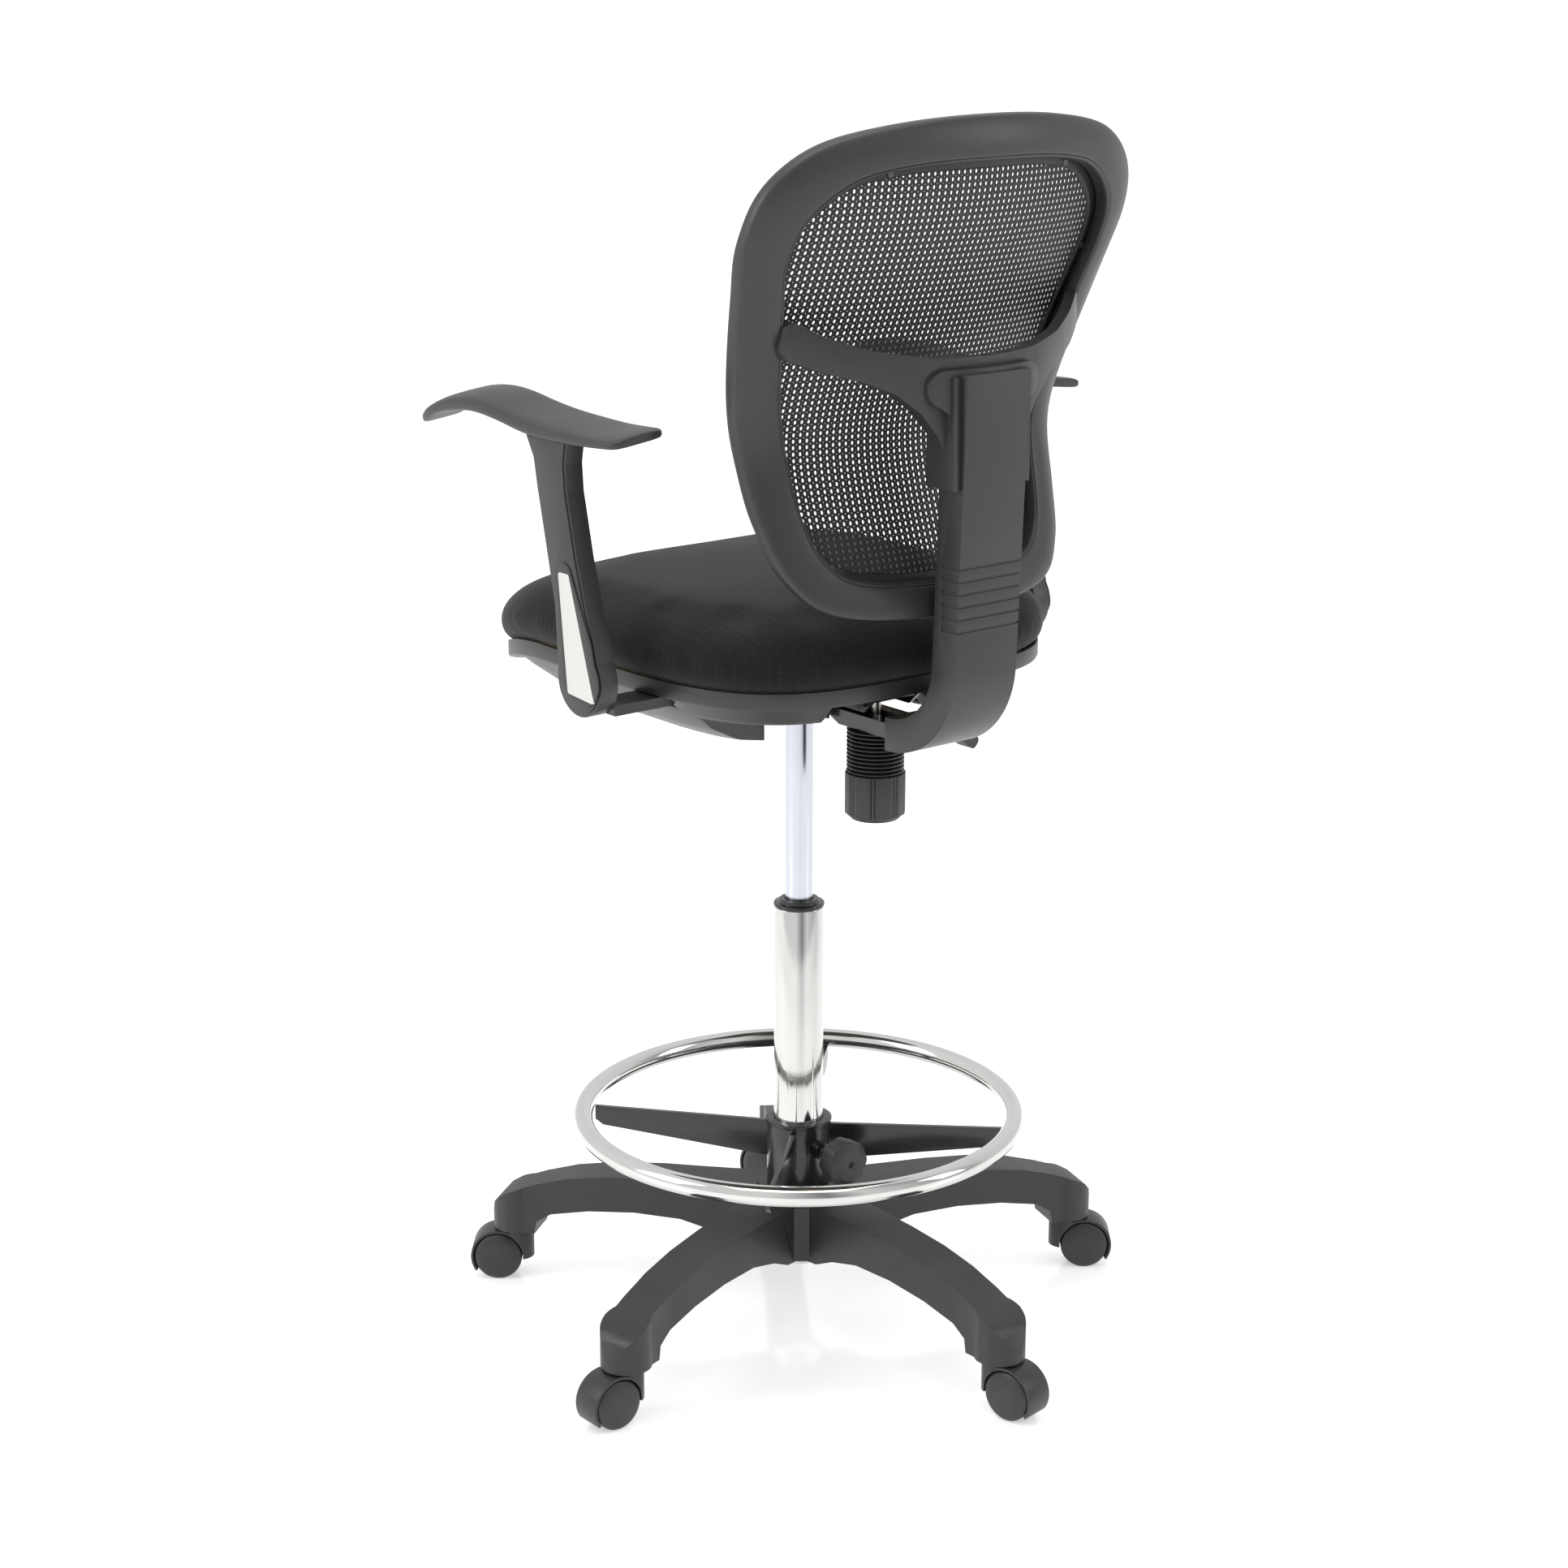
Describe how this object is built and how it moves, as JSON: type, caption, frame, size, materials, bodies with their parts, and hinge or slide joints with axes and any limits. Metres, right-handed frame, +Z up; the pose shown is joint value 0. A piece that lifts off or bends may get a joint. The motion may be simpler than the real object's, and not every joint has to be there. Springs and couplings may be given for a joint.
{
  "type": "drafting chair",
  "caption": "Drafting chair on a caster star base, with a gas lift, foot ring, cushioned seat, T armrests and a tilting mesh back.",
  "frame": {"origin": "where the column's axis meets the floor", "axes": "+Z up along the column, the sitter faces -Y, +X is the sitter's left"},
  "size_m": [0.6784, 0.6552, 1.231],
  "materials": {
    "base_nylon": "satin moulded nylon, fine grain",
    "chromed_tube": "polished chrome",
    "soft_black_plastic": "matte moulded plastic",
    "steel": "bright zinc-plated steel",
    "black_painted_steel": "black powder coat",
    "textured_plastic": "satin moulded plastic with a fine leather grain",
    "arm_pad": "soft-touch skin, satin",
    "plywood": "bare moulded plywood",
    "seat_fabric": "black woven upholstery over foam",
    "silver_inlay": "light silver satin inlay",
    "carrier_plastic": "matte black plastic",
    "back_mesh": "open knitted mesh",
    "black_screw": "black oxide",
    "bellows_rubber": "glossy ribbed rubber",
    "caster_plastic": "satin moulded plastic",
    "caster_wheel": "hard tread with a semi-matte face"
  },
  "bodies": {
    "base": {"base_star": "base_nylon", "column_tube": "chromed_tube", "guide_collar": "soft_black_plastic", "thrust_bearing": "steel"},
    "piston": {"piston_rod": "steel", "retaining_clip": "steel"},
    "seat": {"gas_cylinder": "chromed_tube", "mechanism_body": "black_painted_steel", "tilt_pivot_pin": "steel", "tilt_bracket": "black_painted_steel", "mechanism_bolts": "steel", "seat_shell": "textured_plastic", "seat_pan": "plywood", "seat_cushion": "seat_fabric", "arm_bracket_left": "textured_plastic", "arm_bracket_right": "textured_plastic", "arm_post_left": "textured_plastic", "arm_post_right": "textured_plastic", "arm_pad_left": "arm_pad", "arm_pad_right": "arm_pad", "arm_inlays": "silver_inlay", "arm_bolts": "steel", "tension_bolt": "steel", "tension_spring": "steel", "bellows": "bellows_rubber"},
    "release_pin": {"release_pin": "steel"},
    "height_lever": {"height_lever": "textured_plastic"},
    "tilt_lever": {"tilt_lever": "textured_plastic"},
    "tension_knob": {"tension_knob": "soft_black_plastic"},
    "back": {"back_bar": "black_painted_steel", "spine_cover": "textured_plastic", "back_yoke": "textured_plastic", "back_frame": "textured_plastic", "mesh_carrier": "carrier_plastic", "back_mesh": "back_mesh", "carrier_screws": "black_screw"},
    "ring_bush": {"ring_bush": "soft_black_plastic"},
    "foot_ring": {"ring_tube": "chromed_tube", "ring_hub": "black_painted_steel"},
    "ring_knob": {"ring_knob": "soft_black_plastic"},
    "caster_1": {"caster_hood_1": "caster_plastic", "caster_pins_1": "steel"},
    "wheel_left_1": {"wheel_left_1": "caster_wheel"},
    "wheel_right_1": {"wheel_right_1": "caster_wheel"},
    "caster_2": {"caster_hood_2": "caster_plastic", "caster_pins_2": "steel"},
    "wheel_left_2": {"wheel_left_2": "caster_wheel"},
    "wheel_right_2": {"wheel_right_2": "caster_wheel"},
    "caster_3": {"caster_hood_3": "caster_plastic", "caster_pins_3": "steel"},
    "wheel_left_3": {"wheel_left_3": "caster_wheel"},
    "wheel_right_3": {"wheel_right_3": "caster_wheel"},
    "caster_4": {"caster_hood_4": "caster_plastic", "caster_pins_4": "steel"},
    "wheel_left_4": {"wheel_left_4": "caster_wheel"},
    "wheel_right_4": {"wheel_right_4": "caster_wheel"},
    "caster_5": {"caster_hood_5": "caster_plastic", "caster_pins_5": "steel"},
    "wheel_left_5": {"wheel_left_5": "caster_wheel"},
    "wheel_right_5": {"wheel_right_5": "caster_wheel"}
  },
  "joints": [
    {"name": "seat_swivel", "type": "hinge", "parent": "base", "child": "piston", "pos_m": [0, 0, 0.068], "axis": [0, 0, 1], "continuous": true},
    {"name": "seat_lift", "type": "slide", "parent": "piston", "child": "seat", "axis": [0, 0, 1], "range_m": [-0.18, 0.06]},
    {"name": "height_lever_pull", "type": "hinge", "parent": "seat", "child": "height_lever", "pos_m": [-0.045, 0, 0.6905], "axis": [0, 1, 0], "range_deg": [0, 4.5], "stiffness_Nm_per_rad": 3, "springref_deg": -8.59},
    {"name": "release_pin_press", "type": "slide", "parent": "seat", "child": "release_pin", "axis": [0, 0, 1], "range_m": [-0.0037, 0]},
    {"name": "tilt_lever_turn", "type": "hinge", "parent": "seat", "child": "tilt_lever", "pos_m": [-0.0363, 0.131, 0.678], "axis": [1, 0, 0], "range_deg": [0, 25]},
    {"name": "tension_knob_turn", "type": "hinge", "parent": "seat", "child": "tension_knob", "pos_m": [0, 0.115, 0.577], "axis": [0, 0, 1], "continuous": true},
    {"name": "back_tilt", "type": "hinge", "parent": "seat", "child": "back", "pos_m": [0, 0.062, 0.662], "axis": [-1, 0, 0], "range_deg": [0, 17], "stiffness_Nm_per_rad": 60, "springref_deg": -17.19, "deforming": ["bellows", "tension_spring"]},
    {"name": "ring_slide", "type": "slide", "parent": "base", "child": "ring_bush", "axis": [0, 0, 1], "range_m": [0, 0.13]},
    {"name": "ring_turn", "type": "hinge", "parent": "ring_bush", "child": "foot_ring", "pos_m": [0, 0, 0.18], "axis": [0, 0, 1], "continuous": true},
    {"name": "ring_knob_turn", "type": "hinge", "parent": "foot_ring", "child": "ring_knob", "pos_m": [0, 0, 0.184], "axis": [0.0436, 0.999, 0], "continuous": true},
    {"name": "caster_swivel_1", "type": "hinge", "parent": "base", "child": "caster_1", "pos_m": [0.17986, -0.24756, 0.065], "axis": [0, 0, 1], "continuous": true},
    {"name": "wheel_spin_left_1", "type": "hinge", "parent": "caster_1", "child": "wheel_left_1", "pos_m": [0.19518, -0.26042, 0.025], "axis": [0.6428, 0.766, 0], "continuous": true},
    {"name": "wheel_spin_right_1", "type": "hinge", "parent": "caster_1", "child": "wheel_right_1", "pos_m": [0.19518, -0.26042, 0.025], "axis": [0.6428, 0.766, 0], "continuous": true},
    {"name": "caster_swivel_2", "type": "hinge", "parent": "base", "child": "caster_2", "pos_m": [0.29102, 0.09456, 0.065], "axis": [0, 0, 1], "continuous": true},
    {"name": "wheel_spin_left_2", "type": "hinge", "parent": "caster_2", "child": "wheel_left_2", "pos_m": [0.31102, 0.09456, 0.025], "axis": [0, 1, 0], "continuous": true},
    {"name": "wheel_spin_right_2", "type": "hinge", "parent": "caster_2", "child": "wheel_right_2", "pos_m": [0.31102, 0.09456, 0.025], "axis": [0, 1, 0], "continuous": true},
    {"name": "caster_swivel_3", "type": "hinge", "parent": "base", "child": "caster_3", "pos_m": [0, 0.306, 0.065], "axis": [0, 0, 1], "continuous": true},
    {"name": "wheel_spin_left_3", "type": "hinge", "parent": "caster_3", "child": "wheel_left_3", "pos_m": [-0.00347, 0.3257, 0.025], "axis": [-0.9848, -0.1736, 0], "continuous": true},
    {"name": "wheel_spin_right_3", "type": "hinge", "parent": "caster_3", "child": "wheel_right_3", "pos_m": [-0.00347, 0.3257, 0.025], "axis": [-0.9848, -0.1736, 0], "continuous": true},
    {"name": "caster_swivel_4", "type": "hinge", "parent": "base", "child": "caster_4", "pos_m": [-0.29102, 0.09456, 0.065], "axis": [0, 0, 1], "continuous": true},
    {"name": "wheel_spin_left_4", "type": "hinge", "parent": "caster_4", "child": "wheel_left_4", "pos_m": [-0.30634, 0.10741, 0.025], "axis": [-0.6428, -0.766, 0], "continuous": true},
    {"name": "wheel_spin_right_4", "type": "hinge", "parent": "caster_4", "child": "wheel_right_4", "pos_m": [-0.30634, 0.10741, 0.025], "axis": [-0.6428, -0.766, 0], "continuous": true},
    {"name": "caster_swivel_5", "type": "hinge", "parent": "base", "child": "caster_5", "pos_m": [-0.17986, -0.24756, 0.065], "axis": [0, 0, 1], "continuous": true},
    {"name": "wheel_spin_left_5", "type": "hinge", "parent": "caster_5", "child": "wheel_left_5", "pos_m": [-0.17639, -0.26726, 0.025], "axis": [0.9848, 0.1736, 0], "continuous": true},
    {"name": "wheel_spin_right_5", "type": "hinge", "parent": "caster_5", "child": "wheel_right_5", "pos_m": [-0.17639, -0.26726, 0.025], "axis": [0.9848, 0.1736, 0], "continuous": true}
  ],
  "couplings": [
    {"joint": "release_pin_press", "follows": "height_lever_pull", "m_per_rad": -0.045}
  ]
}
